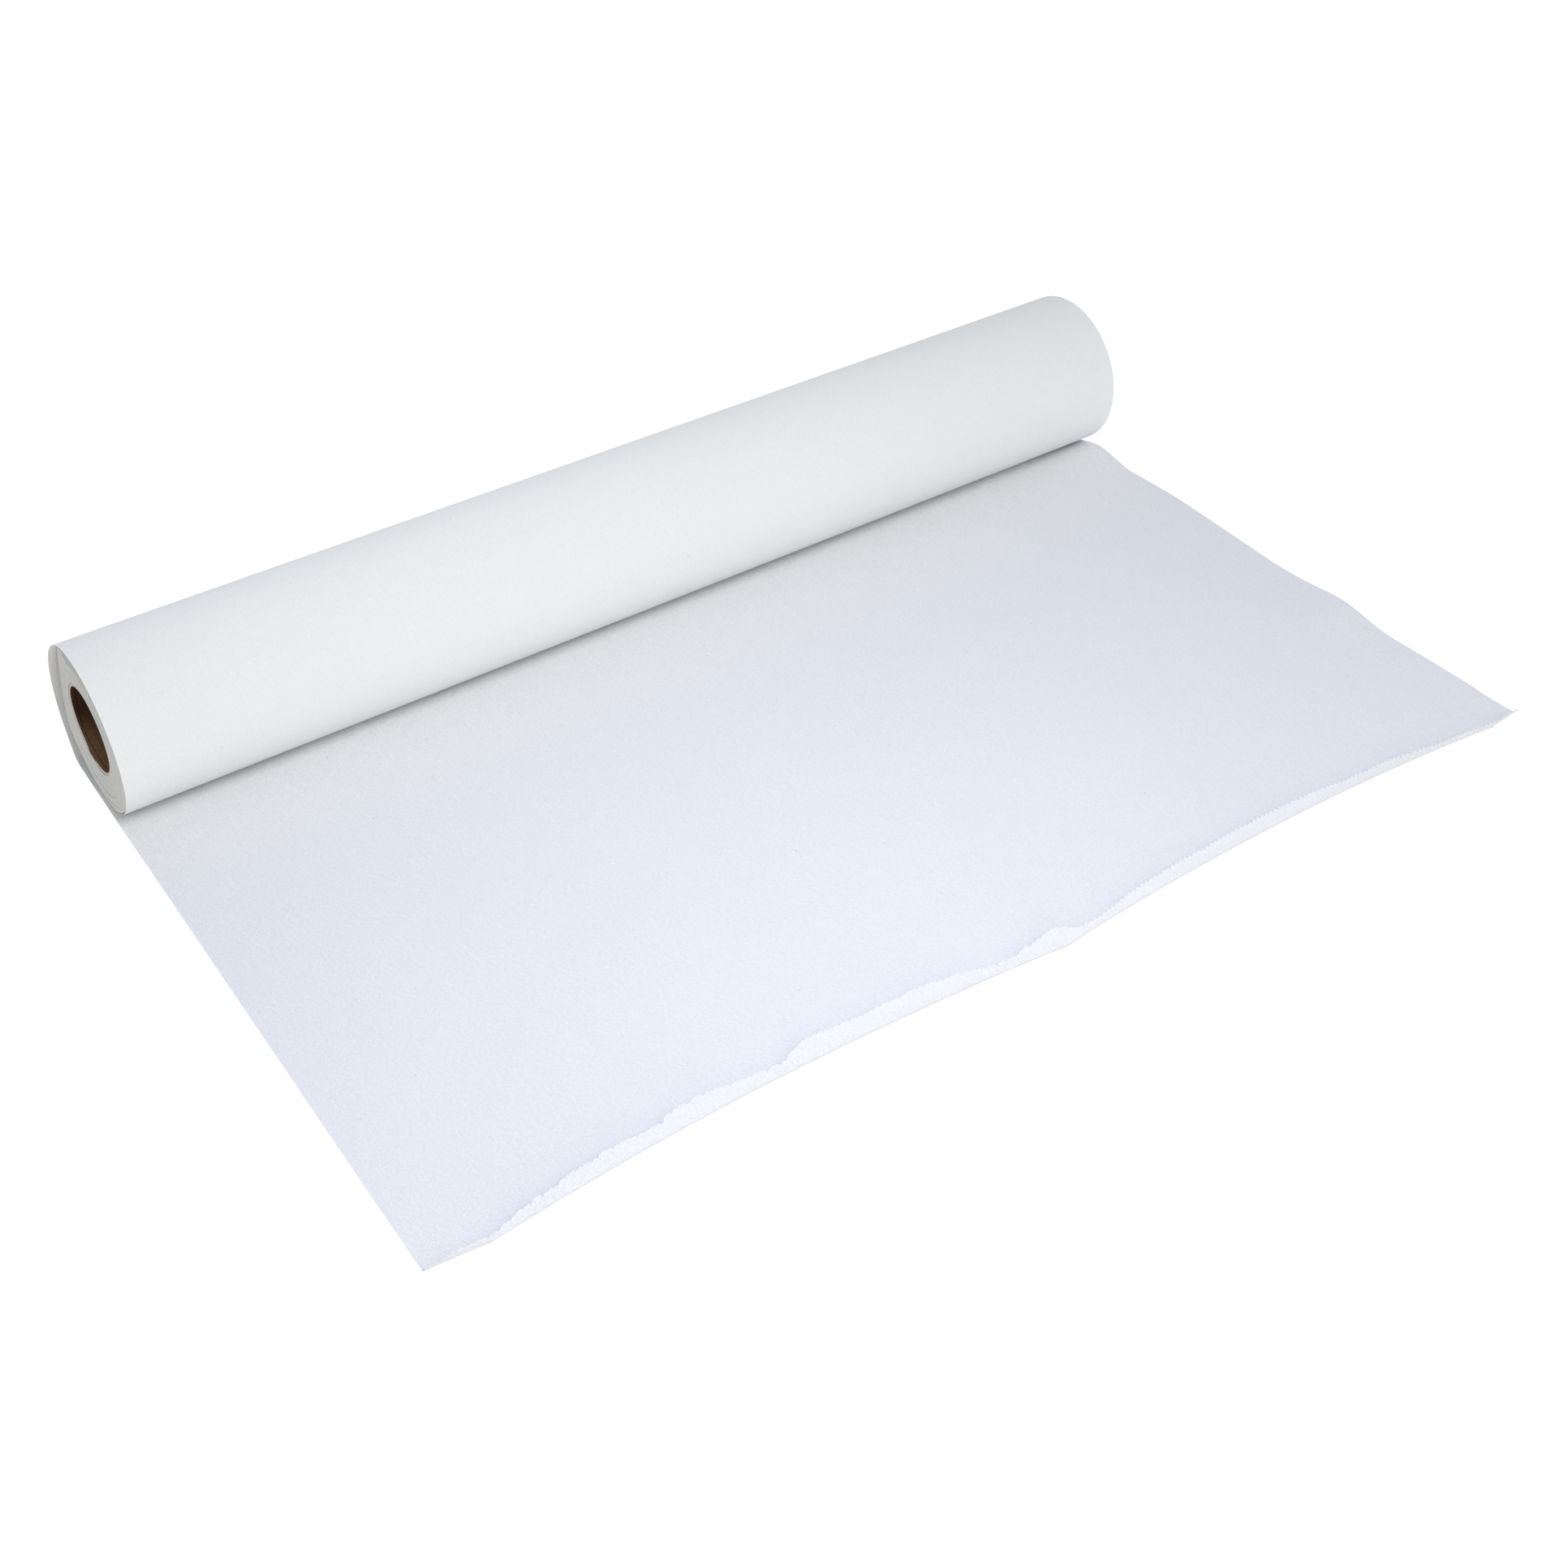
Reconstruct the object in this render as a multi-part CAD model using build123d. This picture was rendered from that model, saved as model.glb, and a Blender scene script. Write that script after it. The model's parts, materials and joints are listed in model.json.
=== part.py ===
from build123d import *

import math
import os

# Roll of crepe examination paper, lying on a table with its end unrolled.
# X runs along the roll, the sheet is unrolled towards -Y and Z is up. The origin is on the table,
# under the middle of the roll's axis. Lengths are in millimetres and angles in degrees.

# Paper web
WEB_WIDTH = 533.4
SHEET_GAUGE = 0.3

# Wound roll and its cardboard core
ROLL_DIAMETER = 76.2
FLAT_SPOT = 10.0
CORE_BORE = 38.1
CORE_WALL = 1.6
CORE_RECESS = 1.1
WINDING_CLEARANCE = 0.05

# Winding lines on the ends: bundles of turns parted by one spiral gap, in a shallow dish
TURN_PITCH = 2.0
TURN_GAP = 0.35
TURN_GAP_DEPTH = 0.6
END_DISH = 0.8
END_RIM = 1.0

# Slack last turn, which leaves the roll at the top and hangs down its back
LIFT_OFF_ANGLE = 60.0
SLACK_RADIUS = 50.0
FALL_LEAN = 25.0
FALL_LENGTH = 8.9
FOOT_RADIUS = 8.0

# Unrolled sheet, whose end is folded up tightly and leans back as an open flap
UNROLLED_LENGTH = 307.0
SHEET_SKEW = 0.85
FOLD_RADIUS = 2.0
FOLD_ANGLE = 112.0
FLAP_RADIUS = 8.0
FLAP_ANGLE = 32.0

# Angles of the roll's section, anticlockwise from the back
BOTTOM = 270.0
HALF_TURN = 180.0
QUARTER_TURN = 90.0

roll_radius = ROLL_DIAMETER / 2
mid_gauge = SHEET_GAUGE / 2
wound_radius = roll_radius - mid_gauge
axis_height = math.sqrt(roll_radius**2 - (FLAT_SPOT / 2) ** 2)
core_radius = CORE_BORE / 2 + CORE_WALL
winding_radius = core_radius + WINDING_CLEARANCE


def last_turn_path():
    """Mid-line of the last turn: from under the roll over its front and top, down its back and under it."""
    lean = math.radians(FALL_LEAN)
    foot_radius = FOOT_RADIUS - mid_gauge
    wrap = CenterArc((0, axis_height), wound_radius, BOTTOM, LIFT_OFF_ANGLE - BOTTOM)
    slack = JernArc(wrap @ 1, wrap % 1, SLACK_RADIUS - mid_gauge, -LIFT_OFF_ANGLE)
    foot_drop = mid_gauge + foot_radius * (1 - math.sin(lean))
    belly_drop = (slack @ 1).Y - foot_drop - FALL_LENGTH * math.cos(lean)
    belly = JernArc(slack @ 1, slack % 1, belly_drop / math.sin(lean), -FALL_LEAN)
    fall = Line(belly @ 1, belly @ 1 + (belly % 1) * FALL_LENGTH)
    foot = JernArc(fall @ 1, fall % 1, foot_radius, FALL_LEAN - QUARTER_TURN)
    run = Line(foot @ 1, (0, mid_gauge))
    return [wrap, slack, belly, fall, foot, run]


def roll_section():
    """Section across the roll: the wound turns, the slack last turn and the run under the roll."""
    on_axis = Pos(0, axis_height)
    section = on_axis * Circle(wound_radius)
    section += trace(last_turn_path(), SHEET_GAUGE)
    section -= on_axis * Circle(winding_radius)
    table = Rectangle(ROLL_DIAMETER, roll_radius, align=(Align.CENTER, Align.MAX))
    return section - table


def winding_spiral():
    """Spiral between the bundles of turns, made of half turns about two centres, from the core outwards."""
    half_turns = 2 * int((wound_radius - winding_radius) / TURN_PITCH - 1)
    start = winding_radius + TURN_PITCH / 2
    arcs = [JernArc((0, -start), (-1, 0), start + TURN_PITCH / 4, -HALF_TURN)]
    for turn in range(1, half_turns):
        last = arcs[-1]
        radius = start + TURN_PITCH / 4 + turn * TURN_PITCH / 2
        arcs.append(JernArc(last @ 1, last % 1, radius, -HALF_TURN))
    return arcs


def end_cut():
    """What is cut from the roll's right end: the shallow dish and the spiral gap between the turns."""
    end = Plane(origin=(WEB_WIDTH / 2, 0, axis_height), x_dir=(0, 1, 0), z_dir=(1, 0, 0))
    to_end_plane = (Align.CENTER, Align.CENTER, Align.MAX)
    dish = end * Cone(winding_radius, wound_radius - END_RIM, END_DISH, align=to_end_plane)
    gap = extrude(end * trace(winding_spiral(), TURN_GAP), -(END_DISH + TURN_GAP_DEPTH))
    return dish + gap


def unrolled_sheet():
    """The sheet in front of the roll, drawn off a little askew, with its end folded up and back."""
    skew = math.radians(SHEET_SKEW)
    ahead = Vector(-math.sin(skew), -math.cos(skew))
    across = Vector(math.cos(skew), -math.sin(skew))
    half_width = across * (WEB_WIDTH * math.cos(skew) / 2)
    fold_start = ahead * (UNROLLED_LENGTH - FOLD_RADIUS)
    left = fold_start - half_width
    right = fold_start + half_width
    plan = Polygon((-WEB_WIDTH / 2, 0), left, right, (WEB_WIDTH / 2, 0), align=None)
    fold = JernArc((0, mid_gauge), (1, 0), FOLD_RADIUS - mid_gauge, FOLD_ANGLE)
    flap = JernArc(fold @ 1, fold % 1, FLAP_RADIUS - mid_gauge, FLAP_ANGLE)
    fold_plane = Plane(origin=right, x_dir=ahead, z_dir=-across)
    folded_end = extrude(fold_plane * trace([fold, flap], SHEET_GAUGE), 2 * half_width.length)
    return extrude(plan, SHEET_GAUGE) + folded_end


def paper_web():
    """The whole strip of paper as one solid."""
    roll = extrude(Plane.YZ * roll_section(), WEB_WIDTH / 2, both=True)
    right_cut = end_cut()
    roll -= right_cut
    roll -= mirror(right_cut, Plane.YZ)
    return roll + unrolled_sheet()


def core_tube():
    """The cardboard tube, a little shorter than the paper is wide."""
    ring = Pos(0, axis_height) * (Circle(core_radius) - Circle(CORE_BORE / 2))
    return extrude(Plane.YZ * ring, WEB_WIDTH / 2 - CORE_RECESS, both=True)


os.makedirs("parts", exist_ok=True)
export_step(paper_web(), "parts/paper_web.step")
export_step(core_tube(), "parts/core_tube.step")
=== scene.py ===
"""Dresses a roll of crepe examination paper that lies on a table with its end unrolled.

The strip of paper is one sheet: it goes over the front and top of the roll, hangs slack down the
back, runs under the roll and lies flat in front, where its torn end curls up. Inside it are the
wound turns, and inside those the cardboard tube.
"""

import json
import logging
import math
from dataclasses import dataclass, field
from enum import Enum
from typing import Any, Mapping

import bpy
import numpy as np
from mathutils import Matrix, Vector


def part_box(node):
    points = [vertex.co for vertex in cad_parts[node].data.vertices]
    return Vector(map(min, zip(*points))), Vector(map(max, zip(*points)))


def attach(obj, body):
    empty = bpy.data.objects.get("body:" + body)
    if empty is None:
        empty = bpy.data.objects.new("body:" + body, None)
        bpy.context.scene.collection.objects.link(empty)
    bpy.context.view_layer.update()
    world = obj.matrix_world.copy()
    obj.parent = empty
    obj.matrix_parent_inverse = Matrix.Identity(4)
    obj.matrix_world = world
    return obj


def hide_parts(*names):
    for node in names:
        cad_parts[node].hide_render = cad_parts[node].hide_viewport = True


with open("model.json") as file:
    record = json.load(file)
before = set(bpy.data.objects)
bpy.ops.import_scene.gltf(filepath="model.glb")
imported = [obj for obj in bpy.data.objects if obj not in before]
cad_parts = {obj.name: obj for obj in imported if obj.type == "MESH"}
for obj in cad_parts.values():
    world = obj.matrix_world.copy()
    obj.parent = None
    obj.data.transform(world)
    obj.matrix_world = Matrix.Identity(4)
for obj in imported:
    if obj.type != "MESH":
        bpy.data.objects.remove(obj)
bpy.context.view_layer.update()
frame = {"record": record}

MM = 0.001
LOG = logging.getLogger("exam_paper_roll")

Colour = tuple[float, float, float]
Point = tuple[float, float, float]
Stretch = tuple[float, float]
Stations = tuple[tuple[float, float], ...]
Waypoint = tuple[float, float, float]
Measure = float | np.ndarray
Settings = Mapping[str, Any]
Sockets = Mapping[str | int, Any]


def in_mm(*stations: tuple[float, float]) -> Stations:
    """Stations of a line, given in millimetres as (place, level), in metres."""
    return tuple((place * MM, level * MM) for place, level in stations)


def into_scene(name: str, data: bpy.types.ID) -> bpy.types.Object:
    """Makes an object of a mesh, light or camera and puts it in the scene."""
    thing = bpy.data.objects.new(name, data)
    bpy.context.scene.collection.objects.link(thing)
    return thing


def smooth_piece(name: str, mesh: bpy.types.Mesh, sharp_angle: float) -> bpy.types.Object:
    """Puts a mesh in the scene, smooth but for edges sharper than an angle in degrees."""
    mesh.shade_smooth()
    mesh.set_sharp_from_angle(angle=math.radians(sharp_angle))
    return into_scene(name, mesh)


class Node(str, Enum):
    """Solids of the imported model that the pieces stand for."""

    PAPER = "paper_web"
    CORE = "core_tube"


class Slot(str, Enum):
    """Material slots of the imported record."""

    PAPER = "crepe_paper"
    BOARD = "core_board"


class Wire:
    """An output socket that can be used in Python arithmetic; each operation adds a Math node."""

    def __init__(self, bench: "NodeBench", socket: bpy.types.NodeSocket) -> None:
        """Keeps the tree that the socket is in."""
        self.bench = bench
        self.socket = socket

    def __add__(self, other: "Wire | float") -> "Wire":
        """Sum."""
        return self.bench.math("ADD", self, other)

    __radd__ = __add__

    def __sub__(self, other: "Wire | float") -> "Wire":
        """Difference."""
        return self.bench.math("SUBTRACT", self, other)

    def __rsub__(self, other: float) -> "Wire":
        """Difference, with a number first."""
        return self.bench.math("SUBTRACT", other, self)

    def __mul__(self, other: "Wire | float") -> "Wire":
        """Product."""
        return self.bench.math("MULTIPLY", self, other)

    __rmul__ = __mul__

    def __truediv__(self, other: "Wire | float") -> "Wire":
        """Quotient."""
        return self.bench.math("DIVIDE", self, other)

    def __lt__(self, other: "Wire | float") -> "Wire":
        """One where this is the smaller, or else zero."""
        return self.bench.math("LESS_THAN", self, other)

    def __gt__(self, other: "Wire | float") -> "Wire":
        """One where this is the larger, or else zero."""
        return self.bench.math("GREATER_THAN", self, other)


class NodeBench:
    """Adds nodes to one node tree and wires them together."""

    def __init__(self, tree: bpy.types.NodeTree) -> None:
        """Starts on a tree with nothing in it."""
        self.tree = tree
        tree.nodes.clear()

    @classmethod
    def for_material(cls, name: str) -> tuple[bpy.types.Material, "NodeBench"]:
        """Makes a material with an empty node tree, and a bench to fill the tree on."""
        material = bpy.data.materials.new(name)
        material.use_nodes = True
        return material, cls(material.node_tree)

    def node(
        self, kind: str, settings: Settings | None = None, sockets: Sockets | None = None
    ) -> bpy.types.Node:
        """Adds a node.

        Args:
            kind: The node's type name.
            settings: Its properties, such as a Math node's operation, which are set first.
            sockets: Values or wires for its inputs, by name or number.

        Returns:
            The new node.
        """
        new = self.tree.nodes.new(kind)
        for name, value in (settings or {}).items():
            setattr(new, name, value)
        for name, value in (sockets or {}).items():
            self._feed(new.inputs[name], value)
        return new

    def wire(
        self,
        kind: str,
        output: str | int,
        settings: Settings | None = None,
        sockets: Sockets | None = None,
    ) -> Wire:
        """Adds a node as node() does, and gives one of its outputs by name or number."""
        return Wire(self, self.node(kind, settings, sockets).outputs[output])

    def math(self, operation: str, *values: Wire | float) -> Wire:
        """Adds a Math node on one to three wires or numbers."""
        return self.wire("ShaderNodeMath", 0, {"operation": operation}, dict(enumerate(values)))

    def split(self, vector: Wire) -> tuple[Wire, Wire, Wire]:
        """The three parts of a vector."""
        parts = self.node("ShaderNodeSeparateXYZ", sockets={0: vector})
        return tuple(Wire(self, socket) for socket in parts.outputs)

    def join(self, x: Wire | float, y: Wire | float, z: Wire | float) -> Wire:
        """A vector from its three parts."""
        return self.wire("ShaderNodeCombineXYZ", 0, sockets={0: x, 1: y, 2: z})

    def blend(self, share: Wire | float, first: Any, second: Any) -> Wire:
        """Mixes two colours by a share from 0, the first, to 1, the second."""
        mix = self.node("ShaderNodeMix", {"data_type": "RGBA"}, {0: share, 6: first, 7: second})
        return Wire(self, mix.outputs[2])

    def change(self, place: Wire, stretch: Stretch, before: float, after: float) -> Wire:
        """A level that changes smoothly from before to after along a stretch."""
        return self.wire(
            "ShaderNodeMapRange",
            0,
            {"interpolation_type": "SMOOTHSTEP"},
            {0: place, 1: stretch[0], 2: stretch[1], 3: before, 4: after},
        )

    def grain(self, place: Wire, size: float, detail: float) -> Wire:
        """Soft noise with cells of a given size."""
        sockets = {"Vector": place, "Scale": 1.0 / size, "Detail": detail}
        return self.wire("ShaderNodeTexNoise", 0, sockets=sockets)

    def relief(self, height: Wire, distance: float, strength: float) -> Wire:
        """A normal that stands for a fine relief of a given full height."""
        sockets = {"Strength": strength, "Distance": distance, "Height": height}
        return self.wire("ShaderNodeBump", "Normal", sockets=sockets)

    def surface(self, sockets: Sockets) -> None:
        """Ends a material's tree with one shader and its output."""
        shader = self.wire("ShaderNodeBsdfPrincipled", "BSDF", sockets=sockets)
        self.node("ShaderNodeOutputMaterial", sockets={"Surface": shader})

    def _feed(self, socket: bpy.types.NodeSocket, value: Any) -> None:
        """Sets a socket's value, or links a wire to it."""
        if isinstance(value, Wire):
            self.tree.links.new(value.socket, socket)
        elif socket.type == "RGBA" and len(value) == 3:
            socket.default_value = (*value, 1.0)
        else:
            socket.default_value = value


@dataclass(frozen=True)
class CrepeFinish:
    """White crepe paper: matt, with small puckers drawn out along the roll.

    Its rough face looks evenly white from most sides. Away from the roll, where it lies in one
    layer,
    it is painted a little cooler: painted light, for the cool light on the open sheet and the
    light that comes through the thin layer; near the roll, in its shade, it keeps the plain white.
    """

    name: str = "crepe_paper"
    white: Colour = (0.92, 0.922, 0.925)
    # Painted shade: hollow is the darker colour painted on the low places of the relief.
    hollow: Colour = (0.87, 0.875, 0.885)
    # Painted light: the cooler colours painted on the open sheet, away from the roll's shade.
    painted_cool_white: Colour = (0.888, 0.898, 0.950)
    painted_cool_hollow: Colour = (0.838, 0.850, 0.910)
    painted_cool_length: Stretch = (12 * MM, 100 * MM)
    speck: Colour = (0.42, 0.40, 0.38)
    roughness: float = 0.75
    nap: float = 1.0
    gloss: float = 0.4
    relief_strength: float = 1.0
    pucker_length: float = 2.0 * MM
    pucker_pitch: float = 1.1 * MM
    pebble_size: float = 0.8 * MM
    pebble_share: float = 0.3
    pucker_height: float = 0.6 * MM
    taut_relief: float = 0.32
    taut_length: Stretch = (200 * MM, 250 * MM)
    fresh_relief: float = 1.5
    fresh_length: Stretch = (32 * MM, 65 * MM)
    crinkle_length: float = 5.0 * MM
    crinkle_pitch: float = 3.0 * MM
    crinkle_share: float = 0.15
    cloud_size: float = 38.0 * MM
    cloud_share: float = 0.25
    noise_roughness: float = 0.55
    fine_detail: float = 2.0
    plain_detail: float = 1.0
    speck_spacing: float = 46.0 * MM
    speck_radius: float = 0.24 * MM
    speck_share: float = 0.2

    def build(self, contact: float) -> bpy.types.Material:
        """Makes the material, which follows the paper's own flat coordinates.

        Args:
            contact: How far along the paper the roll presses on it. It was pulled off there last,
                so its puckers stand out most in front of that place.

        Returns:
            The new material.
        """
        material, bench = NodeBench.for_material(self.name)
        flat = bench.wire("ShaderNodeTexCoord", "UV")
        fine, plain = self.fine_detail, self.plain_detail
        puckers = self._noise(bench, flat, (self.pucker_length, self.pucker_pitch), fine)
        pebbles = self._noise(bench, flat, (self.pebble_size, self.pebble_size), plain)
        clouds = self._noise(bench, flat, (self.cloud_size, self.cloud_size), fine)
        crinkles = self._noise(bench, flat, (self.crinkle_length, self.crinkle_pitch), plain)
        relief = (1.0 - self.pebble_share) * puckers + self.pebble_share * pebbles
        _, along, _ = bench.split(flat)
        slack = bench.change(along, self.taut_length, self.taut_relief, 1.0)
        fresh = bench.change(along - contact, self.fresh_length, self.fresh_relief, 1.0)
        height = slack * fresh * (relief + self.crinkle_share * crinkles)
        # Painted light: cooler from a little ahead of where the roll presses on the sheet, plain
        # white in the roll's shade.
        painted_cool_share = bench.change(along - contact, self.painted_cool_length, 0.0, 1.0)
        white = bench.blend(painted_cool_share, self.white, self.painted_cool_white)
        hollow = bench.blend(painted_cool_share, self.hollow, self.painted_cool_hollow)
        # Painted shade in the hollows of the relief, which the bump also sinks, mixed with clouds
        # of tone that differs at random.
        level = (1.0 - self.cloud_share) * relief + self.cloud_share * clouds
        painted_hollow_shade = bench.blend(level, hollow, white)
        colour = bench.blend(self._specks(bench, flat), painted_hollow_shade, self.speck)
        bench.surface(
            {
                "Base Color": colour,
                "Roughness": self.roughness,
                "Diffuse Roughness": self.nap,
                "Specular IOR Level": self.gloss,
                "Normal": bench.relief(height, self.pucker_height, self.relief_strength),
            }
        )
        return material

    def _noise(
        self, bench: NodeBench, flat: Wire, cell: tuple[float, float], detail: float
    ) -> Wire:
        """Soft noise with cells of a given width and length on the flat paper."""
        scale = (1.0 / cell[0], 1.0 / cell[1], 1.0)
        stretched = bench.wire("ShaderNodeMapping", 0, sockets={"Vector": flat, "Scale": scale})
        return bench.wire(
            "ShaderNodeTexNoise",
            0,
            {"noise_dimensions": "2D"},
            {
                "Vector": stretched,
                "Scale": 1.0,
                "Detail": detail,
                "Roughness": self.noise_roughness,
            },
        )

    def _specks(self, bench: NodeBench, flat: Wire) -> Wire:
        """Mask of the few dark fibres in the pulp: one where there is a speck."""
        cells = bench.node(
            "ShaderNodeTexVoronoi",
            {"voronoi_dimensions": "2D"},
            {"Vector": flat, "Scale": 1.0 / self.speck_spacing},
        )
        near = Wire(bench, cells.outputs["Distance"]) < self.speck_radius / self.speck_spacing
        picked, _, _ = bench.split(Wire(bench, cells.outputs["Color"]))
        return near * (picked < self.speck_share)


@dataclass(frozen=True)
class EdgeFinish:
    """Ends of the wound turns: cut edges of the same paper, a little greyer between the turns."""

    name: str = "wound_paper_edges"
    white: Colour = (0.90, 0.90, 0.89)
    grey: Colour = (0.78, 0.78, 0.77)
    roughness: float = 0.95
    gloss: float = 0.2
    relief_strength: float = 0.6
    fibre_size: float = 0.7 * MM
    fibre_detail: float = 3.0
    fibre_height: float = 0.1 * MM

    def build(self) -> bpy.types.Material:
        """Makes the material."""
        material, bench = NodeBench.for_material(self.name)
        place = bench.wire("ShaderNodeTexCoord", "Object")
        fibres = bench.grain(place, self.fibre_size, self.fibre_detail)
        bench.surface(
            {
                "Base Color": bench.blend(fibres, self.grey, self.white),
                "Roughness": self.roughness,
                "Specular IOR Level": self.gloss,
                "Normal": bench.relief(fibres, self.fibre_height, self.relief_strength),
            }
        )
        return material


@dataclass(frozen=True)
class BoardFinish:
    """Grey-brown board of the tube: pressed pulp with long fibres."""

    name: str = "core_board"
    light: Colour = (0.104, 0.051, 0.027)
    dark: Colour = (0.042, 0.018, 0.009)
    # Painted light: the paler colour of the bore's lower wall, where light falls.
    bore_painted_light: Colour = (0.42, 0.245, 0.136)
    cut: Colour = (0.74, 0.72, 0.68)
    roughness: float = 0.85
    gloss: float = 0.08
    relief_strength: float = 0.7
    fibre_length: float = 3.5 * MM
    fibre_width: float = 0.5 * MM
    fibre_detail: float = 4.0
    fibre_height: float = 0.12 * MM
    patch_size: float = 9.0 * MM
    patch_detail: float = 3.0
    patch_share: float = 0.45
    cut_depth: float = 0.3 * MM
    ply_gauge: float = 0.4 * MM
    painted_light_heights: Stretch = (-2.0 * MM, -20.0 * MM)
    painted_light_least: float = 0.4

    def build(self, sizes: "RollSizes") -> bpy.types.Material:
        """Makes the material.

        Args:
            sizes: Sizes of the tube, whose cut ends are paler than its bore.

        Returns:
            The new material.
        """
        material, bench = NodeBench.for_material(self.name)
        place = bench.wire("ShaderNodeTexCoord", "UV")
        scale = (1.0 / self.fibre_length, 1.0 / self.fibre_width, 1.0)
        drawn_out = bench.wire("ShaderNodeMapping", 0, sockets={"Vector": place, "Scale": scale})
        fibres = bench.grain(drawn_out, 1.0, self.fibre_detail)
        patches = bench.grain(place, self.patch_size, self.patch_detail)
        level = (1.0 - self.patch_share) * fibres + self.patch_share * patches
        board = bench.blend(level, self.dark, self.light)
        # Painted light on the bore's underside, broken up by the fibres.
        light_grain = self.painted_light_least + (1.0 - self.painted_light_least) * fibres
        lit_board = bench.blend(self._painted_light(bench, sizes) * light_grain, board, self.bore_painted_light)
        bench.surface(
            {
                "Base Color": bench.blend(self._cut_ends(bench, sizes), lit_board, self.cut),
                "Roughness": self.roughness,
                "Specular IOR Level": self.gloss,
                "Normal": bench.relief(fibres, self.fibre_height, self.relief_strength),
            }
        )
        return material

    def _painted_light(self, bench: NodeBench, sizes: "RollSizes") -> Wire:
        """Mask of the painted light along the underside of the bore: paler from a little below the
        axis down, where light falls on the lower wall.
        """
        _, _, z = bench.split(bench.wire("ShaderNodeTexCoord", "Object"))
        return bench.change(z - sizes.axis_height, self.painted_light_heights, 0.0, 1.0)

    def _cut_ends(self, bench: NodeBench, sizes: "RollSizes") -> Wire:
        """Mask of the tube's cut ends: one on them."""
        x, y, z = bench.split(bench.wire("ShaderNodeTexCoord", "Object"))
        height = z - sizes.axis_height
        in_wall = y * y + height * height > (sizes.bore_radius + self.ply_gauge) ** 2
        at_end = bench.math("ABSOLUTE", x) > sizes.core_half_length - self.cut_depth
        return in_wall * at_end


@dataclass(frozen=True)
class RollSizes:
    """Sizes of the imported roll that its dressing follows, in metres."""

    half_width: float
    axis_height: float
    radius: float
    core_radius: float
    core_half_length: float
    bore_radius: float

    @classmethod
    def from_frame(cls) -> "RollSizes":
        """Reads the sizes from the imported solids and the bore's mount."""
        bore = next(m for m in frame["record"]["mounts"] if m["name"] == "core_bore")
        axis_height = bore["pos_m"][2]
        _, paper_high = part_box(Node.PAPER.value)
        core_low, core_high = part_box(Node.CORE.value)
        return cls(
            half_width=paper_high[0],
            axis_height=axis_height,
            radius=paper_high[2] - axis_height,
            core_radius=(core_high[2] - core_low[2]) / 2,
            core_half_length=core_high[0],
            bore_radius=bore["dims"]["r_mm"] * MM,
        )


class Mesher:
    """Gathers vertices and faces and turns them into a mesh object."""

    def __init__(self) -> None:
        """Starts with nothing."""
        self.points: list[np.ndarray] = []
        self.flat: list[np.ndarray] = []
        self.faces: list[tuple[int, ...]] = []
        self.count = 0

    def add(self, points: np.ndarray, flat: np.ndarray) -> np.ndarray:
        """Adds a grid of vertices.

        Args:
            points: Places, of shape (rows, columns, 3).
            flat: Their places on the flat sheet, of shape (rows, columns, 2).

        Returns:
            The vertices' numbers, of shape (rows, columns).
        """
        numbers = np.arange(points.shape[0] * points.shape[1]).reshape(points.shape[:2])
        numbers = numbers + self.count
        self.points.append(points.reshape(-1, 3))
        self.flat.append(flat.reshape(-1, 2))
        self.count += numbers.size
        return numbers

    def skin(self, numbers: np.ndarray, turned: bool = False) -> None:
        """Adds the faces of a grid.

        Args:
            numbers: Vertex numbers, by row and column.
            turned: Whether the faces look the other way.
        """
        a = numbers[:-1, :-1].ravel()
        b = numbers[:-1, 1:].ravel()
        c = numbers[1:, 1:].ravel()
        d = numbers[1:, :-1].ravel()
        corners = (a, d, c, b) if turned else (a, b, c, d)
        self.faces.extend(map(tuple, np.stack(corners, axis=1).tolist()))

    def build(self, name: str, sharp_angle: float) -> bpy.types.Object:
        """Makes the object, smooth but for edges sharper than an angle.

        Args:
            name: The object's name.
            sharp_angle: The angle, in degrees.

        Returns:
            The new object, in the scene.
        """
        mesh = bpy.data.meshes.new(name)
        mesh.from_pydata(np.concatenate(self.points).tolist(), [], self.faces)
        corner_vertices = np.empty(len(mesh.loops), dtype=np.int32)
        mesh.loops.foreach_get("vertex_index", corner_vertices)
        layer = mesh.uv_layers.new(name="flat")
        layer.uv.foreach_set("vector", np.concatenate(self.flat)[corner_vertices].ravel())
        return smooth_piece(name, mesh, sharp_angle)


def ease(value: np.ndarray, low: float, high: float) -> np.ndarray:
    """Rises smoothly from 0 at low to 1 at high."""
    share = np.clip((value - low) / (high - low), 0.0, 1.0)
    return share * share * (3.0 - 2.0 * share)


def through(value: np.ndarray, stations: Stations) -> np.ndarray:
    """Level along a smooth line through a few stations, each given as (place, level)."""
    places, levels = np.array(stations).T
    slopes = np.gradient(levels, places)
    index = np.clip(np.searchsorted(places, value) - 1, 0, len(places) - 2)
    span = np.diff(places)[index]
    rise = np.diff(levels)[index]
    leave = slopes[index] * span
    arrive = slopes[index + 1] * span
    share = np.clip((value - places[index]) / span, 0.0, 1.0)
    bend = 3.0 * rise - 2.0 * leave - arrive + share * (leave + arrive - 2.0 * rise)
    return levels[index] + share * (leave + share * bend)


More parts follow.
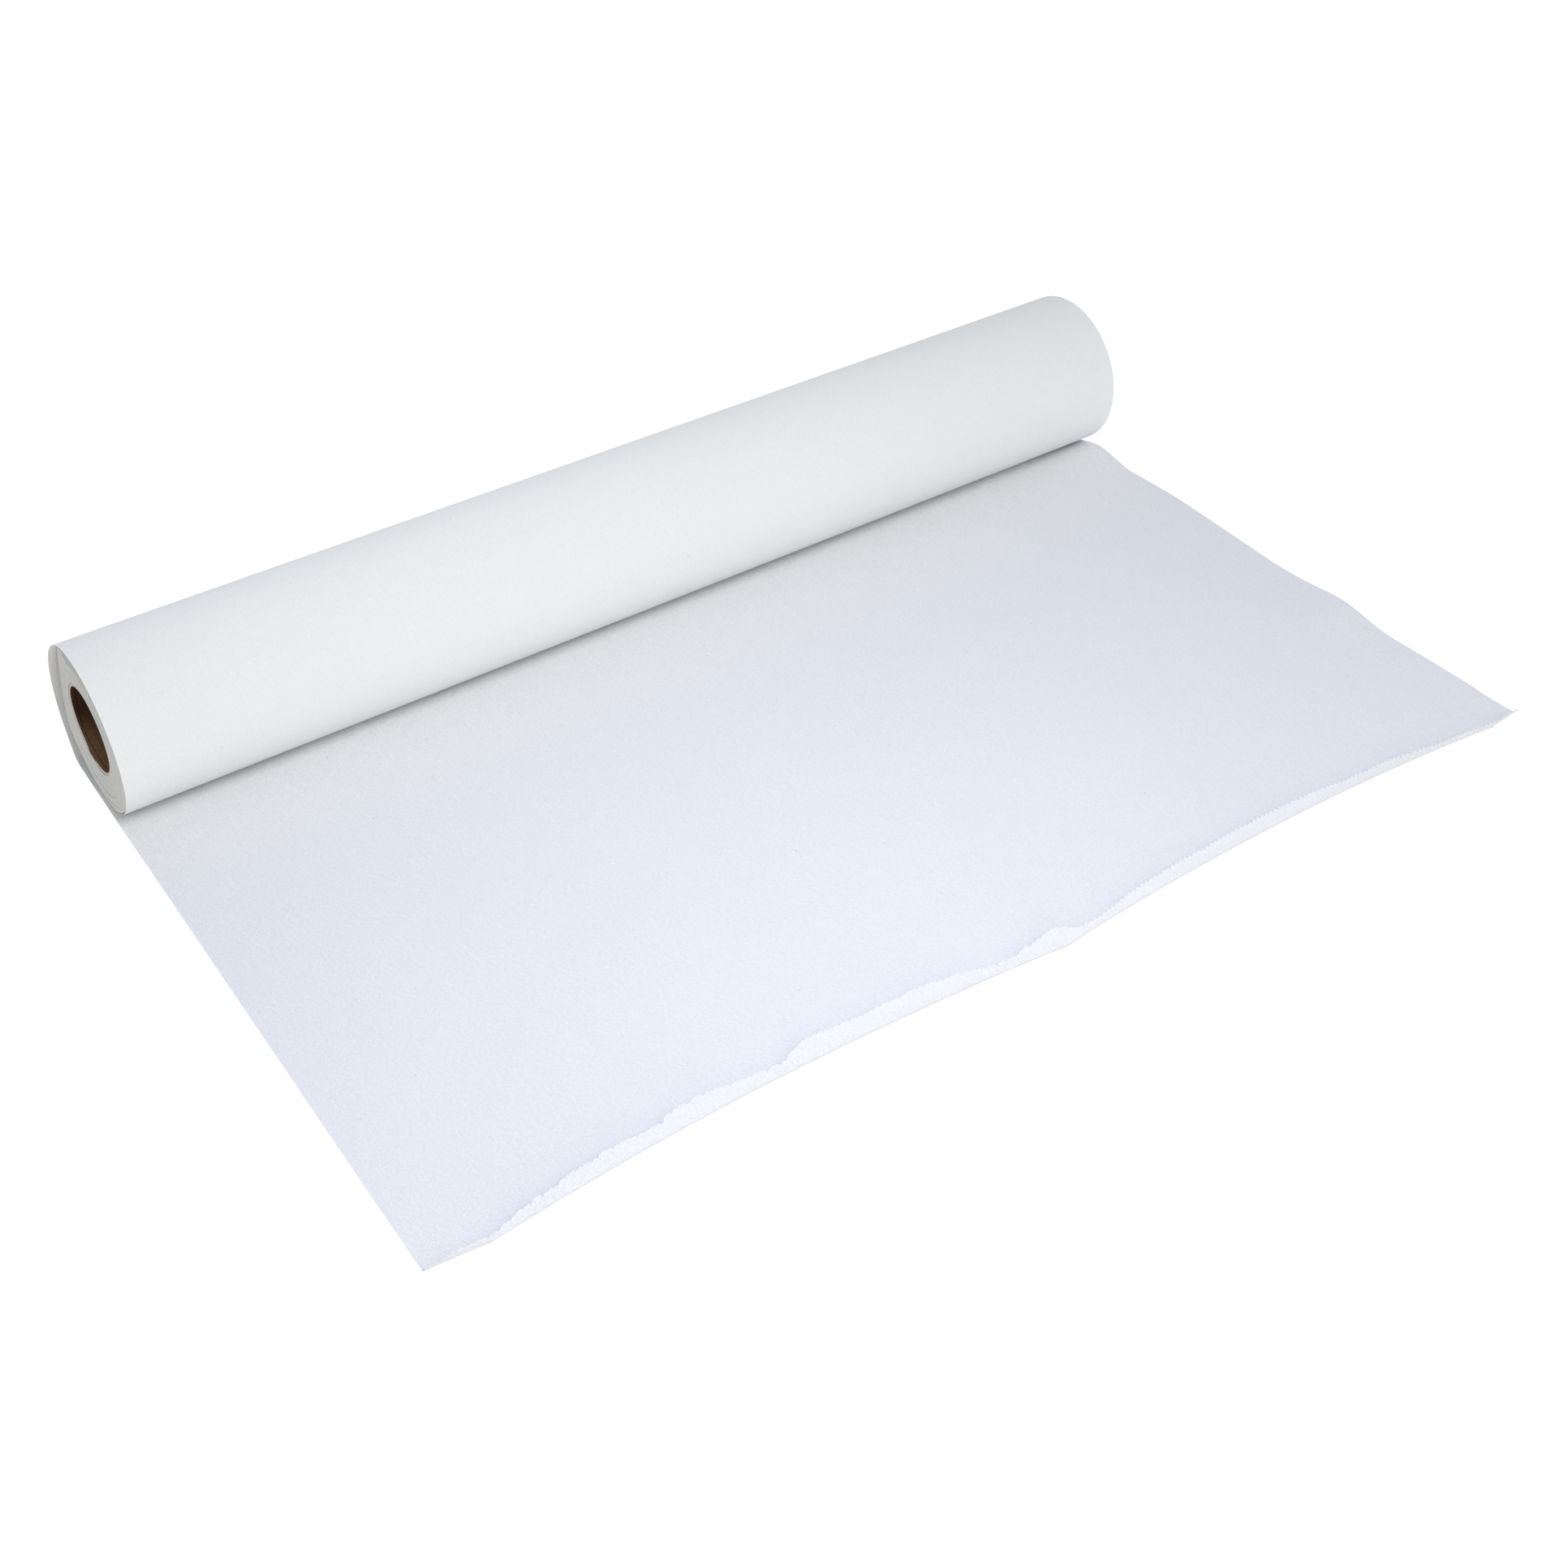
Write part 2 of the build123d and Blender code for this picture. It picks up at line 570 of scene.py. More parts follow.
@dataclass
class PaperSheet:
    """The last turn of the paper, from under the roll's front to its torn end.

    Places on it are given as across, from the middle of the web, and along, from its hidden start.
    A place ahead is measured from where the roll presses on the sheet. Each ripple has a length
    across, a length ahead and a phase.
    """

    sizes: RollSizes
    finish: CrepeFinish
    gauge: float = 0.24 * MM
    start_angle: float = 258.0
    lift_off_angle: float = 60.0
    slack_radius: float = 50.0 * MM
    belly_radius: float = 35.0 * MM
    fall_lean: float = 25.0
    foot_radius: float = 8.0 * MM
    flat_length: float = 305.0 * MM
    skew: float = 0.85
    end_skew: float = 0.61
    side_drift: float = 1.0 * MM
    side_slip: float = 0.25 * MM
    slip_length: Stretch = (-70 * MM, 10 * MM)
    skew_length: Stretch = (-30 * MM, 60 * MM)
    end_length: float = 130.0 * MM
    fold_radius: float = 2.0 * MM
    fold_angle: float = 106.0
    fold_waver: float = 1.2
    waver_lengths: tuple[float, float] = (3.7 * MM, 8.3 * MM)
    waver_phase: float = 1.0
    corner_reach: Stretch = (243 * MM, 268 * MM)
    corner_ease: float = 0.45
    flap_radius: float = 18.0 * MM
    arch_cusps: tuple[float, ...] = (-242 * MM, 10 * MM, 250 * MM)
    arch_setback: float = 5.3 * MM
    arch_share: float = 0.65
    arch_fullness: float = 0.8
    arch_lift: float = 1.8 * MM
    arch_length: float = 70.0 * MM
    ripple_height: float = 0.16 * MM
    ripple_start: Stretch = (25 * MM, 80 * MM)
    ripples: tuple[tuple[float, float, float], ...] = (
        (31 * MM, 47 * MM, 0.6),
        (53 * MM, -29 * MM, 2.1),
    )
    cell: float = 3.2 * MM
    flap_split: int = 8
    fold_rows: int = 6
    flap_rows: int = 5
    tongue_width: tuple[float, float] = (1.2 * MM, 3.2 * MM)
    tongue_depth: float = 0.8 * MM
    tongue_spread: float = 0.4 * MM
    scallop_pitch: float = 2.4 * MM
    scallop_depth: float = 1.2 * MM
    scallop_start: Stretch = (6 * MM, 24 * MM)
    scallop_calm: float = 0.7
    bow_middle: float = 0.6
    flap_least: float = 0.3 * MM
    sharp_angle: float = 50.0
    seed: int = 21
    right_lifts: Stations = in_mm(
        (9, 0.2), (16, 2.2), (27, 4.9), (38, 3.6), (50, 1.6), (62, 2.0),
        (82, 2.7), (107, 2.2), (132, 1.2), (166, 0.3), (178, 1.0), (204, 3.3),
        (228, 0.2), (256, 0.6), (280, 0.7), (291, 0.2), (306, 0.6),
    )
    lift_reach: float = 30.0 * MM
    flap_lengths: Stations = in_mm(
        (-268, 1.8), (-243, 1.8), (-228, 4.0), (-206, 5.4), (-191, 6.5), (-178, 5.4),
        (-164, 7.2), (-140, 6.0), (-117, 5.0), (-111, 7.3), (-91, 7.3), (-44, 6.6),
        (-24, 3.8), (-16, 3.7), (-4, 6.0), (9, 7.3), (15, 4.7), (50, 4.9),
        (90, 5.6), (150, 4.8), (171, 3.4), (184, 3.7), (220, 1.5), (240, 1.3),
        (254, 0.8), (268, 0.8),
    )
    stretches: list[tuple[float, Waypoint, float]] = field(init=False, default_factory=list)
    contact: float = field(init=False)
    curl_start: float = field(init=False)

    def __post_init__(self) -> None:
        """Works out the section: arcs and straight runs, each with its start and curvature.

        A waypoint of it is the distance from the axis plane, the height and the heading.
        """
        wound_radius = self.sizes.radius - self.gauge / 2
        slack_radius = self.slack_radius - self.gauge / 2
        belly_radius = self.belly_radius - self.gauge / 2
        foot_radius = self.foot_radius - self.gauge / 2
        start = math.radians(self.start_angle)
        lift_off = math.radians(self.lift_off_angle)
        lean = math.radians(self.fall_lean)
        place = (
            wound_radius * math.cos(start),
            self.sizes.axis_height + wound_radius * math.sin(start),
            start - math.pi / 2,
        )
        along = 0.0
        turns = ((start - lift_off, wound_radius), (lift_off, slack_radius), (lean, belly_radius))
        for turn, radius in turns:
            self.stretches.append((along, place, 1 / radius))
            place = self._advance(place, turn * radius, 1 / radius)
            along += turn * radius
        foot_height = foot_radius * (1 - math.sin(lean)) + self.gauge / 2
        fall = (place[1] - foot_height) / math.cos(lean)
        foot = (math.pi / 2 - lean) * foot_radius
        for length, curvature in ((fall, 0.0), (foot, 1 / foot_radius)):
            self.stretches.append((along, place, curvature))
            place = self._advance(place, length, curvature)
            along += length
        self.stretches.append((along, place, 0.0))
        self.contact = along + place[0]
        self.curl_start = self.contact + self.flat_length

    @property
    def fold_length(self) -> float:
        """Length of the paper in the tight fold."""
        return self.fold_radius * math.radians(self.fold_angle)

    @staticmethod
    def _advance(
        place: Waypoint, length: Measure, curvature: float
    ) -> tuple[Measure, Measure, Measure]:
        """Waypoint reached along an arc that turns clockwise, seen from the right.

        Args:
            place: Where the arc starts.
            length: How far to go along it, as a number or an array.
            curvature: One over the radius, or zero for a straight run.

        Returns:
            The distance, height and heading, in the form of the length.
        """
        y, z, heading = place
        turned = heading - curvature * length
        if curvature == 0.0:
            return y + length * math.cos(heading), z + length * math.sin(heading), turned
        across = (math.sin(heading) - np.sin(turned)) / curvature
        rise = (np.cos(turned) - math.cos(heading)) / curvature
        return y + across, z + rise, turned

    def section(self, along: np.ndarray) -> tuple[np.ndarray, np.ndarray]:
        """The web's middle line across the roll, as distances from the axis plane and heights."""
        y = np.zeros_like(along)
        z = np.zeros_like(along)
        for start, place, curvature in self.stretches:
            beyond = along >= start
            y[beyond], z[beyond], _ = self._advance(place, along[beyond] - start, curvature)
        return y, z

    def arch(self, across: np.ndarray) -> np.ndarray:
        """Bows of the curled end between the places where it touches down: 0 there, 1 between."""
        left, middle, right = self.arch_cusps
        span = np.where(across < middle, middle - left, right - middle)
        return np.abs(np.sin(math.pi * (across - middle) / span)) ** self.arch_fullness

    def lift(self, across: np.ndarray, ahead: np.ndarray) -> np.ndarray:
        """Height of the sheet off the table."""
        inset = np.maximum(self.sizes.half_width - across, 0.0)
        height = through(ahead, self.right_lifts) * np.exp(-((inset / self.lift_reach) ** 2))
        front = ease(ahead, self.flat_length - self.arch_length, self.flat_length)
        height += self.arch_lift * front**2 * self.arch(across)
        ripple = self.ripple_height * ease(ahead, *self.ripple_start)
        for width, length, phase in self.ripples:
            height += ripple * (1.0 + np.sin(across / width + ahead / length + phase))
        return height

    def point(self, across: np.ndarray, along: np.ndarray) -> np.ndarray:
        """Places on the middle of the paper's thickness.

        Args:
            across: Distances from the middle of the web.
            along: Distances along the web, of the same shape.

        Returns:
            The places, with one more axis of three.
        """
        skew = math.radians(self.skew)
        end_skew = math.radians(self.end_skew)
        held = np.minimum(along, self.curl_start)
        ahead = held - self.contact
        y, z = self.section(held)
        let_go = ease(ahead, *self.slip_length)
        laid = ease(ahead, *self.skew_length)
        front = ease(ahead, self.flat_length - self.end_length, self.flat_length)
        x = across * (1.0 + let_go * self.side_drift / self.sizes.half_width)
        x = x - let_go * self.side_slip - np.maximum(ahead, 0.0) * math.sin(skew)
        y = y - across * (math.sin(skew) * (laid - front) + math.sin(end_skew) * front)
        y = y + self.arch_setback * (self.arch(across) - self.arch_share) * front
        z = z + self.lift(across, ahead) * (ahead > 0)
        ahead_of_fold, above_fold = self.curl(across, np.maximum(along - self.curl_start, 0.0))
        return np.stack((x, y - ahead_of_fold, z + above_fold), axis=-1)

    def curl(self, across: np.ndarray, past: np.ndarray) -> tuple[np.ndarray, np.ndarray]:
        """How far forward and how high the curled end is: a tight fold and then an open flap."""
        short, long = self.waver_lengths
        waver = np.sin(across / short) + np.sin(across / long + self.waver_phase)
        corner = self.corner_ease * ease(np.abs(across), *self.corner_reach)
        fold = np.radians(self.fold_angle * (1.0 - corner) + self.fold_waver * waver)
        folded = np.minimum(past / self.fold_radius, fold)
        opened = fold + np.maximum(past - self.fold_radius * fold, 0.0) / self.flap_radius
        forward = self.fold_radius * np.sin(folded)
        forward += self.flap_radius * (np.sin(opened) - np.sin(fold))
        up = self.fold_radius * (1.0 - np.cos(folded))
        up += self.flap_radius * (np.cos(fold) - np.cos(opened))
        return forward, up

    def normal(self, across: np.ndarray, along: np.ndarray) -> np.ndarray:
        """Directions out of the paper's outer face, at the places that point() gives."""
        step = 0.2 * MM
        over = self.point(across + step, along) - self.point(across - step, along)
        on = self.point(across, along + step) - self.point(across, along - step)
        out = np.cross(over, on)
        return out / np.linalg.norm(out, axis=-1, keepdims=True)

    def tear(self, across: np.ndarray) -> np.ndarray:
        """Uneven length of the torn end: small round tongues, more regular on the right."""
        random = np.random.default_rng(self.seed)
        notches = across[0] + np.cumsum(random.uniform(*self.tongue_width, across.size))
        levels = np.interp(across, notches, random.normal(0.0, self.tongue_spread, notches.size))
        tongue = np.interp(across, notches, np.arange(notches.size))
        bows = np.abs(np.sin(math.pi * tongue)) - self.bow_middle
        scallops = np.abs(np.sin(math.pi * across / self.scallop_pitch)) - self.bow_middle
        regular = ease(across, *self.scallop_start)
        uneven = (levels + self.tongue_depth * bows) * (1.0 - self.scallop_calm * regular)
        return uneven + self.scallop_depth * scallops * regular

    def _grids(self) -> tuple[tuple[np.ndarray, np.ndarray], ...]:
        """The grid of the sheet and the finer one of its curled end, each as across and along."""
        width = 2 * self.sizes.half_width
        columns = round(width / self.cell)
        rows = round(self.curl_start / self.cell)
        across = np.linspace(-width / 2, width / 2, columns + 1)
        along = np.linspace(0.0, self.curl_start, rows + 1)
        fine_across = np.linspace(-width / 2, width / 2, columns * self.flap_split + 1)
        fold_end = self.curl_start + self.fold_length
        fold = np.linspace(self.curl_start, fold_end, self.fold_rows + 1)[1:]
        shares = np.linspace(0.0, 1.0, self.flap_rows + 1)[1:]
        lengths = through(fine_across, self.flap_lengths) + self.tear(fine_across)
        ends = np.maximum(lengths, self.flap_least)
        fold_along = np.broadcast_to(fold[:, None], (fold.size, fine_across.size))
        flap_along = np.concatenate((fold_along, fold_end + shares[:, None] * ends[None, :]))
        flap_across = np.broadcast_to(fine_across, flap_along.shape)
        return tuple(np.meshgrid(across, along)), (flap_across, flap_along)

    def build(self) -> bpy.types.Object:
        """Makes the sheet as a closed thin shell, with finer faces on the curled end."""
        mesher = Mesher()
        grids = self._grids()
        faces = []
        for side in (1.0, -1.0):
            face = []
            for across, along in grids:
                offset = self.normal(across, along) * side * self.gauge / 2
                places = self.point(across, along) + offset
                face.append(mesher.add(places, np.stack((across, along), axis=-1)))
            faces.append(face)
        for (main_grid, flap_grid), turned in zip(faces, (False, True)):
            mesher.skin(main_grid, turned)
            mesher.skin(flap_grid, turned)
            self._join(mesher, main_grid[-1], flap_grid[0], turned)
        (outer_main, outer_flap), (inner_main, inner_flap) = faces
        edges = [0, -1]
        outer, inner = (np.concatenate((grid[:, edges], flap[:, edges])) for grid, flap in faces)
        mesher.skin(np.stack((inner_main[0], outer_main[0])))
        mesher.skin(np.stack((outer_flap[-1], inner_flap[-1])))
        mesher.skin(np.stack((outer[:, 0], inner[:, 0])))
        mesher.skin(np.stack((inner[:, 1], outer[:, 1])))
        return mesher.build("paper_sheet", self.sharp_angle)

    def _join(self, mesher: Mesher, coarse: np.ndarray, fine: np.ndarray, turned: bool) -> None:
        """Joins the last row of the main grid to the finer first row of the curled end."""
        for cell in range(coarse.size - 1):
            first = cell * self.flap_split
            far_side = fine[first:first + self.flap_split + 1][::-1]
            corners = [coarse[cell], coarse[cell + 1], *far_side]
            mesher.faces.append(tuple(int(v) for v in (corners[::-1] if turned else corners)))

    def dress(self, piece: bpy.types.Object, turns: bpy.types.Object) -> None:
        """Gives the sheet its finish and its place in the model.

        Args:
            piece: The sheet.
            turns: The wound turns, which the sheet goes round. Not used.
        """
        piece.data.materials.append(self.finish.build(self.contact))
        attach(piece, "root")
        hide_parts(Node.PAPER.value)
        flap = max(length for _, length in self.flap_lengths)
        flat = (2 * self.sizes.half_width, self.curl_start + self.fold_length + flap)


@dataclass
class WoundTurns:
    """The turns under the last one: one spiral strip between the tube and the last turn."""

    sizes: RollSizes
    finish: EdgeFinish
    outer_gauge: float = 0.3 * MM
    turns: int = 34
    steps_per_turn: int = 96
    fill: float = 0.9
    dish: float = 0.8 * MM
    hollow: float = 3.2 * MM
    hollow_angle: float = 28.0
    hollow_spread: float = 55.0
    stray: float = 0.35 * MM
    jitter: float = 0.12 * MM
    bundle: float = 5.0
    slide_rate: float = 4.0
    slide_blend: float = 0.1
    drift_stride: float = 1.37
    shake_stride: float = 1.7
    shake_detail: float = 2.0
    seed_stride: float = 3.1
    bed: float = 0.45 * MM
    bed_rise: float = 0.9
    end_angle: float = 250.0
    clearance: float = 0.05 * MM
    sharp_angle: float = 35.0
    seed: int = 7

    def build(self) -> bpy.types.Object:
        """Makes the turns, a plain mesh, with a node tree that bends a long bar to a spiral."""
        inputs = self._inputs()
        tree, names = self._tree(inputs)
        holder = into_scene("wound_turns_rule", bpy.data.meshes.new("wound_turns_rule"))
        rule = holder.modifiers.new("wound_turns", "NODES")
        rule.node_group = tree
        for name, value in inputs.items():
            rule[names[name]] = value
        ready = holder.evaluated_get(bpy.context.evaluated_depsgraph_get())
        mesh = bpy.data.meshes.new_from_object(ready)
        bpy.data.objects.remove(holder)
        mesh.name = "paper_turns"
        return smooth_piece("paper_turns", mesh, self.sharp_angle)

    def _inputs(self) -> dict[str, Any]:
        """Values of the tree's inputs, by name."""
        return {
            "Width": 2 * self.sizes.half_width,
            "Inner Radius": self.sizes.core_radius + self.clearance,
            "Outer Radius": self.sizes.radius - self.outer_gauge,
            "Turns": self.turns,
            "Steps per Turn": self.steps_per_turn,
            "Fill": self.fill,
            "Axis Height": self.sizes.axis_height,
            "Dish": self.dish,
            "Hollow": self.hollow,
            "Hollow Angle": math.radians(self.hollow_angle),
            "Hollow Spread": math.radians(self.hollow_spread),
            "Stray": self.stray,
            "Jitter": self.jitter,
            "Bundle": self.bundle,
            "Bed": self.bed,
            "End Angle": math.radians(self.end_angle),
            "Seed": self.seed,
            "Material": self.finish.build(),
        }

    def _tree(self, inputs: Mapping[str, Any]) -> tuple[bpy.types.NodeTree, dict[str, str]]:
        """Builds the node tree.

        Args:
            inputs: Values of the tree's inputs, whose types its sockets take.

        Returns:
            The tree, and the identifier of each of its inputs by name.
        """
        tree = bpy.data.node_groups.new("wound_turns", "GeometryNodeTree")
        kinds = {int: "NodeSocketInt", float: "NodeSocketFloat"}
        names = {}
        for name, value in inputs.items():
            kind = kinds.get(type(value), "NodeSocketMaterial")
            socket = tree.interface.new_socket(name, in_out="INPUT", socket_type=kind)
            names[name] = socket.identifier
        tree.interface.new_socket("Geometry", in_out="OUTPUT", socket_type="NodeSocketGeometry")
        bench = NodeBench(tree)
        given = bench.node("NodeGroupInput")
        wires = {name: Wire(bench, given.outputs[name]) for name in names}
        bar = bench.wire(
            "GeometryNodeMeshCube",
            "Mesh",
            sockets={"Vertices X": wires["Turns"] * wires["Steps per Turn"] + 1},
        )
        spiral = bench.wire(
            "GeometryNodeSetPosition",
            0,
            sockets={"Geometry": bar, "Position": self._spiral(bench, wires)},
        )
        whole = bench.wire("GeometryNodeRealizeInstances", 0, sockets={"Geometry": spiral})
        faced = bench.wire(
            "GeometryNodeSetMaterial",
            0,
            sockets={"Geometry": whole, "Material": wires["Material"]},
        )
        bench.node("NodeGroupOutput", sockets={0: faced})
        return tree, names

    def _spiral(self, bench: NodeBench, value: Mapping[str, Wire]) -> Wire:
        """Where each point of the straight bar goes on the spiral.

        Args:
            bench: The bench of the tree.
            value: The tree's inputs, by name.

        Returns:
            The place.
        """
        length, depth, side = bench.split(bench.wire("GeometryNodeInputPosition", 0))
        share = length + 0.5
        turn = share * value["Turns"]
        pitch = (value["Outer Radius"] - value["Inner Radius"]) / value["Turns"]
        room = value["Outer Radius"] - value["Inner Radius"] - pitch
        radius = value["Inner Radius"] + pitch * 0.5 + room * share + depth * pitch * value["Fill"]
        angle = value["End Angle"] + (value["Turns"] - turn) * math.tau
        sunk = value["Outer Radius"] - radius
        depth_share = sunk / (value["Outer Radius"] - value["Inner Radius"])
        inward = value["Dish"] * depth_share
        off_hollow = bench.math("WRAP", angle - value["Hollow Angle"], math.pi, -math.pi)
        quarter = 0.5 * math.pi
        away = bench.math("ABSOLUTE", off_hollow) / value["Hollow Spread"] * quarter
        lobe = bench.math("COSINE", bench.math("MINIMUM", away, quarter))
        hollow = (side < 0.0) * value["Hollow"] * lobe * (1.0 - depth_share)
        step = turn / value["Bundle"]
        whole = bench.math("FLOOR", step)
        late = (step - whole) * self.slide_rate - (self.slide_rate - 1.0)
        slide = bench.math("SMOOTH_MIN", bench.math("MAXIMUM", late, 0.0), 1.0, self.slide_blend)
        drift_place = (whole + slide) * self.drift_stride + value["Seed"]
        drift = self._sway(bench, drift_place, 0.0)
        shake_place = turn * self.shake_stride + value["Seed"] * self.seed_stride
        shake = self._sway(bench, shake_place, self.shake_detail)
        offset = value["Stray"] * drift + value["Jitter"] * shake
        x = side * (value["Width"] - 2.0 * inward) + hollow + offset
        y = radius * bench.math("COSINE", angle)
        round_z = value["Axis Height"] + radius * bench.math("SINE", angle)
        z = bench.math("MAXIMUM", round_z, value["Bed"] + self.bed_rise * sunk)
        return bench.join(x, y, z)

    @staticmethod
    def _sway(bench: NodeBench, place: Wire, detail: float) -> Wire:
        """Noise along a line, from about -1 to 1."""
        noise = bench.wire(
            "ShaderNodeTexNoise",
            0,
            {"noise_dimensions": "1D"},
            {"W": place, "Scale": 1.0, "Detail": detail},
        )
        return 2.0 * (noise - 0.5)

    @staticmethod
    def dress(piece: bpy.types.Object) -> None:
        """Gives the turns their place in the model."""
        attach(piece, "root")
        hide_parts(Node.PAPER.value)


@dataclass
class CoreTube:
    """The cardboard tube: plies wound on a slant, with an open seam and a torn inner ply.

    Each wave of the ply's edge has a share of its height, a count around the tube and a phase.
    """

    sizes: RollSizes
    finish: BoardFinish
    lead: float = 150.0 * MM
    columns: int = 240
    rows: int = 96
    seam_angle: float = 150.0
    seam_columns: int = 4
    seam_depth: float = 0.5 * MM
    ply_setback: float = 1.5 * MM
    ply_waver: float = 0.35 * MM
    ply_waves: tuple[tuple[float, float, float], ...] = ((1.0, 2.0, 0.0), (0.5, 5.0, 1.0))
    ply_step: float = 0.12 * MM
    slit_width: float = 0.4 * MM
    slit_depth: float = 0.8 * MM
    slit_shares: tuple[float, ...] = (0.0, 0.1, 0.9, 1.0)
    plain_start: float = 6.0 * MM
    rag: float = 0.05 * MM
    torn_angle: float = 294.0
    torn_spread: float = 11.0
    torn_length: float = 0.5 * MM
    torn_notch: float = 0.35
    torn_notches: float = 5.0
    sharp_angle: float = 40.0
    seed: int = 5

    def build(self) -> bpy.types.Object:
        """Makes the tube as one closed shell whose lines follow the slant of the plies."""
        turn = np.arange(self.columns) * math.tau / self.columns
        x, radius = self._profile()
        seam = np.where(np.arange(self.columns) < self.seam_columns, self.seam_depth, 0.0)
        in_bore = np.arange(x.size) < x.size // 2 - 1
        slant = (x[:, None] - x[0]) * math.tau / self.lead
        angle = turn[None, :] + math.radians(self.seam_angle) + slant
        spread = radius[:, None] + in_bore[:, None] * seam[None, :]
        places = np.repeat(x[:, None], self.columns, axis=1)
        slit = np.arange(1, 1 + len(self.slit_shares))
        for share, count, phase in self.ply_waves:
            places[slit] += self.ply_waver * share * np.sin(count * angle[slit] + phase)
        places[[0, -1]] -= self._rag(angle[0])
        y = spread * np.cos(angle)
        z = self.sizes.axis_height + spread * np.sin(angle)
        flat = np.stack((places, angle * self.sizes.bore_radius), axis=-1)
        mesher = Mesher()
        numbers = mesher.add(np.stack((places, y, z), axis=-1), flat)
        numbers = np.concatenate((numbers, numbers[:1]))
        mesher.skin(np.concatenate((numbers, numbers[:, :1]), axis=1), turned=True)
        return mesher.build("core_board_tube", self.sharp_angle)

    def _profile(self) -> tuple[np.ndarray, np.ndarray]:
        """The tube's section along its axis: through the bore to the right, and back outside."""
        end = self.sizes.core_half_length
        bore = self.sizes.bore_radius
        slit = self.ply_setback + np.array(self.slit_shares) * self.slit_width
        plain = np.linspace(self.plain_start - end, end, self.rows)
        inside = np.concatenate(((-end,), slit - end, plain))
        outside = inside[::-1]
        x = np.concatenate((inside, outside, (-end, -end)))
        radius = np.full(x.size, bore)
        radius[:2] += self.ply_step
        radius[2:4] += self.slit_depth
        radius[inside.size:] = self.sizes.core_radius
        radius[-2:] = bore + self.finish.ply_gauge
        return x, radius

    def _rag(self, angle: np.ndarray) -> np.ndarray:
        """How far the inner ply stands out past the left end, by angle."""
        random = np.random.default_rng(self.seed)
        off_tear = (angle - math.radians(self.torn_angle) + math.pi) % math.tau - math.pi
        reach = off_tear / math.radians(self.torn_spread)
        tongue = np.exp(-(reach**2))
        notched = 1.0 + self.torn_notch * np.sin(reach * self.torn_notches)
        return tongue * notched * self.torn_length + random.random(angle.size) * self.rag

    def dress(self, piece: bpy.types.Object) -> None:
        """Gives the tube its finish and its place in the model."""
        piece.data.materials.append(self.finish.build(self.sizes))
        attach(piece, "root")
        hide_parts(Node.CORE.value)


@dataclass
class Table:
    """The plain white table that the roll lies on."""

    half_size: float = 40.0
    white: Colour = (0.45, 0.45, 0.45)
    glow: float = 0.82

    def build(self) -> bpy.types.Object:
        """Makes the table top."""
        mesh = bpy.data.meshes.new("table_top")
        reach = self.half_size
        corners = [(-reach, -reach, 0), (reach, -reach, 0), (reach, reach, 0), (-reach, reach, 0)]
        mesh.from_pydata(corners, [], [(0, 1, 2, 3)])
        material, bench = NodeBench.for_material("table_white")
        bench.surface(
            {
                "Base Color": self.white,
                "Roughness": 1.0,
                "Specular IOR Level": 0.0,
                "Emission Color": (1.0, 1.0, 1.0),
                "Emission Strength": self.glow,
            }
        )
        mesh.materials.append(material)
        top = into_scene("table_top", mesh)
        # The studio's table_glow lights the paper in place of the table's own glow.
        top.visible_diffuse = False
        return top


@dataclass(frozen=True)
class Lamp:
    """A round soft lamp that looks at the middle of the sheet."""

    name: str
    place: Point
    size: float
    power: float
    colour: Colour

    def build(self, aim: Point) -> None:
        """Makes the lamp.

        Args:
            aim: The point that it looks at.
        """
        light = bpy.data.lights.new(self.name, "AREA")
        light.shape = "DISK"
        light.size = self.size
        light.energy = self.power
        light.color = self.colour
        lamp = into_scene(self.name, light)
        lamp.location = self.place
        ahead = Vector(aim) - Vector(self.place)
        lamp.rotation_euler = ahead.to_track_quat("-Z", "Y").to_euler()
        lamp.visible_camera = False


